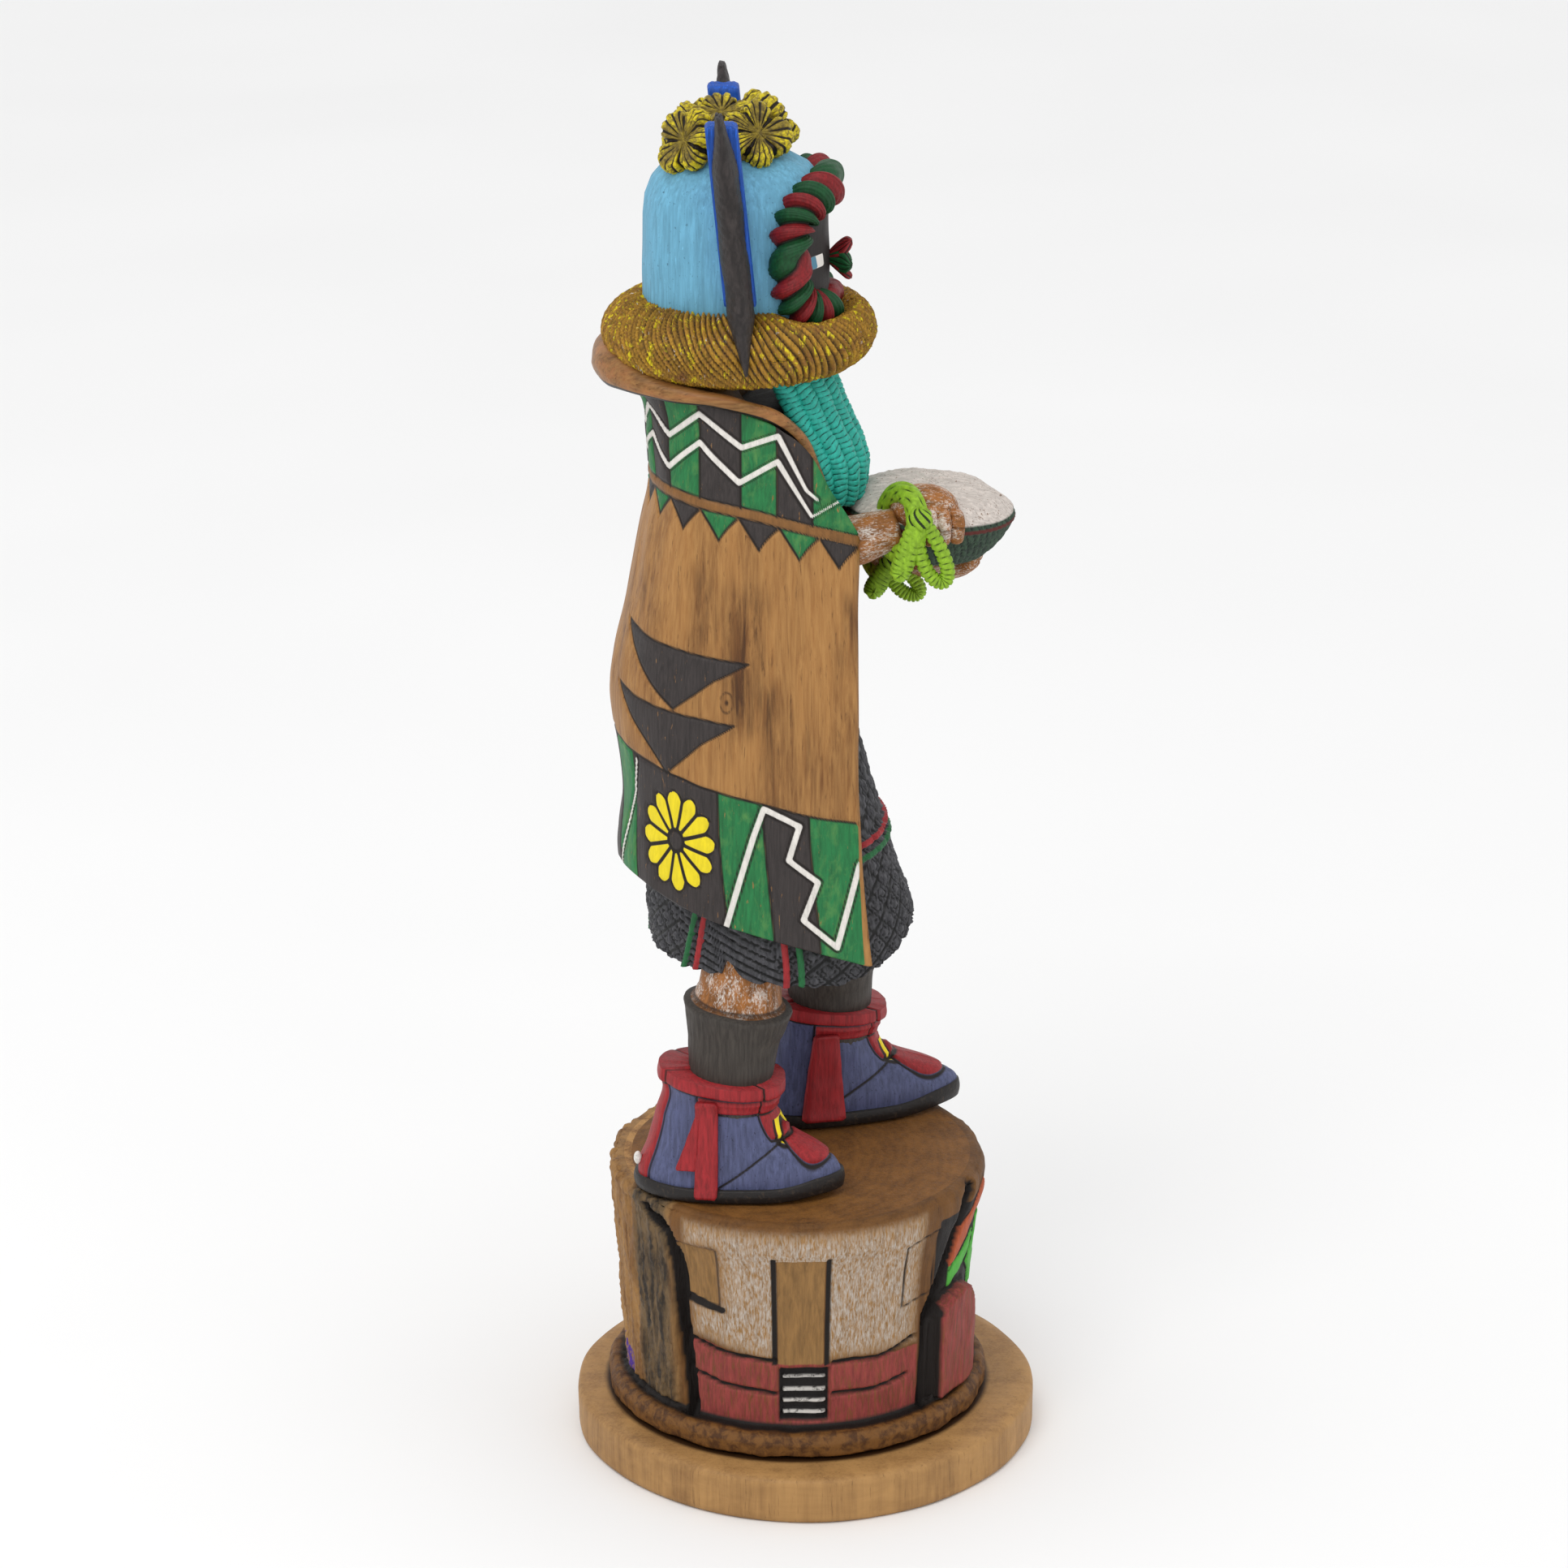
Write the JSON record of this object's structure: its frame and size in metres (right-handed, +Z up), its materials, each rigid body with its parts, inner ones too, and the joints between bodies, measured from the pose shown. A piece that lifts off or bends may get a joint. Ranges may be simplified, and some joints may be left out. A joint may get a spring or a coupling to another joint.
{
  "type": "kachina doll",
  "caption": "Carved and painted wooden figure in a long shawl, with a feathered case mask and a basket of meal held out in front, on a carved stump and a round plinth.",
  "frame": {"origin": "centre of the plinth's underside", "axes": "+X the way the figure faces, +Y to its left, +Z up"},
  "size_m": [0.102, 0.102, 0.302],
  "materials": {
    "plinth": "clear satin lacquer over planed wood",
    "pueblo_stump": "burnt outlines, thin whitewash and red paint on cottonwood root",
    "figure": "satin wood with matt paint in blue, black, green, red, white and yellow",
    "wing_right": "matt black and blue paint",
    "wing_left": "matt black and blue paint",
    "meal_basket": "speckled off-white meal in a dark ribbed basket"
  },
  "bodies": {
    "root": {"plinth": "plinth", "pueblo_stump": "pueblo_stump", "figure": "figure", "wing_right": "wing_right", "wing_left": "wing_left", "meal_basket": "meal_basket"}
  },
  "joints": []
}
